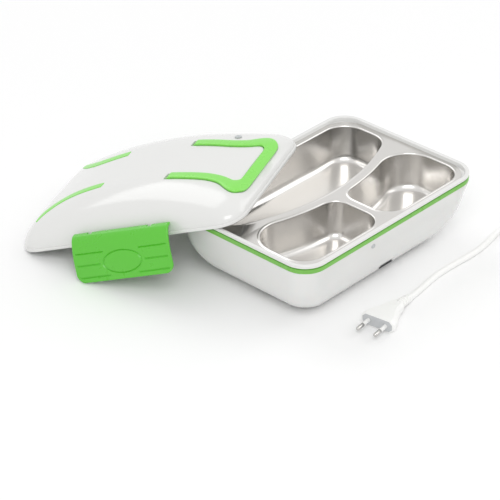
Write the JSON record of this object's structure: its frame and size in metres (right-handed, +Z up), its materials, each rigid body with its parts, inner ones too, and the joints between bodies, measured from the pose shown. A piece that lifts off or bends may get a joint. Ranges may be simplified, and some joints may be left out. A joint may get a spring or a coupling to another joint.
{
  "type": "electric lunch box",
  "caption": "Heated oblong lunch box with a lift-out steel tray of three compartments, and its domed lid with a folding handle and side latches, leaning on the base.",
  "frame": {"origin": "on the floor, under the middle of the base", "axes": "+X along the base towards its mains inlet, +Z up; the wall with the status lens faces -Y"},
  "size_m": [0.425, 0.4572, 0.1006],
  "materials": {
    "shell": "satin white",
    "rim": "satin white",
    "band": "green",
    "latch_green": "green, satin",
    "handle_green": "light green, satin",
    "cover": "white, matt",
    "steel": "satin",
    "aluminium": "rolled",
    "screw": "zinc plated",
    "ceramic": "ceramic",
    "bakelite": "brown phenolic",
    "black_plastic": "black",
    "wire_brown": "brown",
    "wire_blue": "blue",
    "wire_red": "red silicone",
    "mat": "needled fibre",
    "lens": "smoked",
    "board": "green laminate",
    "foot_rubber": "grey",
    "gasket": "clear silicone",
    "valve": "grey silicone",
    "lead_white": "white PVC",
    "pin": "nickel plated"
  },
  "bodies": {
    "heated_base": {"base_shell": "shell", "rim_ring": "rim", "trim_band": "band", "bottom_cover": "cover", "rubber_feet": "foot_rubber", "cover_screws": "screw", "insulation_mat": "mat", "heating_plate": "aluminium", "plate_screws": "screw", "ptc_heater": "ceramic", "heater_clamp": "aluminium", "clamp_screws": "screw", "thermostat": "bakelite", "thermal_fuse": "ceramic", "inlet_socket": "black_plastic", "inlet_pins": "pin", "live_wire": "wire_brown", "neutral_wire": "wire_blue", "fuse_wire": "wire_red", "status_lens": "lens", "status_board": "board", "plug_body": "lead_white", "plug_pins": "pin", "plug_sleeve": "lead_white", "cord_lead": "lead_white", "cord_coil": "lead_white", "cord_tail": "lead_white", "connector_sleeve": "lead_white", "connector_body": "lead_white"},
    "tray": {"food_tray": "steel"},
    "lid": {"lid_shell": "shell", "lid_liner": "shell", "lid_gasket": "gasket", "steam_valve": "valve", "inlay_near": "handle_green", "inlay_far": "handle_green", "handle_pins": "screw", "latch_rod_near": "screw", "latch_rod_far": "screw"},
    "handle": {"carry_handle": "handle_green"},
    "near_latch": {"latch_near": "latch_green"},
    "far_latch": {"latch_far": "latch_green"}
  },
  "joints": [
    {"name": "lid_lift", "type": "slide", "parent": "heated_base", "child": "lid", "axis": [0, 0, 1], "range_m": [0, 0.18]},
    {"name": "tray_lift", "type": "slide", "parent": "heated_base", "child": "tray", "axis": [0, 0, 1], "range_m": [0, 0.08]},
    {"name": "handle_swing", "type": "hinge", "parent": "lid", "child": "handle", "pos_m": [-0.07306, 0.1181, 0.08785], "axis": [-0.9291, -0.3697, 0], "range_deg": [0, 100]},
    {"name": "near_latch_swing", "type": "hinge", "parent": "lid", "child": "near_latch", "pos_m": [-0.1658, 0.11181, 0.05171], "axis": [-0.3479, 0.8742, -0.3387], "range_deg": [0, 110]},
    {"name": "far_latch_swing", "type": "hinge", "parent": "lid", "child": "far_latch", "pos_m": [-0.00134, 0.17725, 0.05171], "axis": [0.3479, -0.8742, 0.3387], "range_deg": [0, 110]}
  ],
  "couplings": [
    {"joint": "tray_lift", "follows": "lid_lift", "ratio": 0.4}
  ]
}
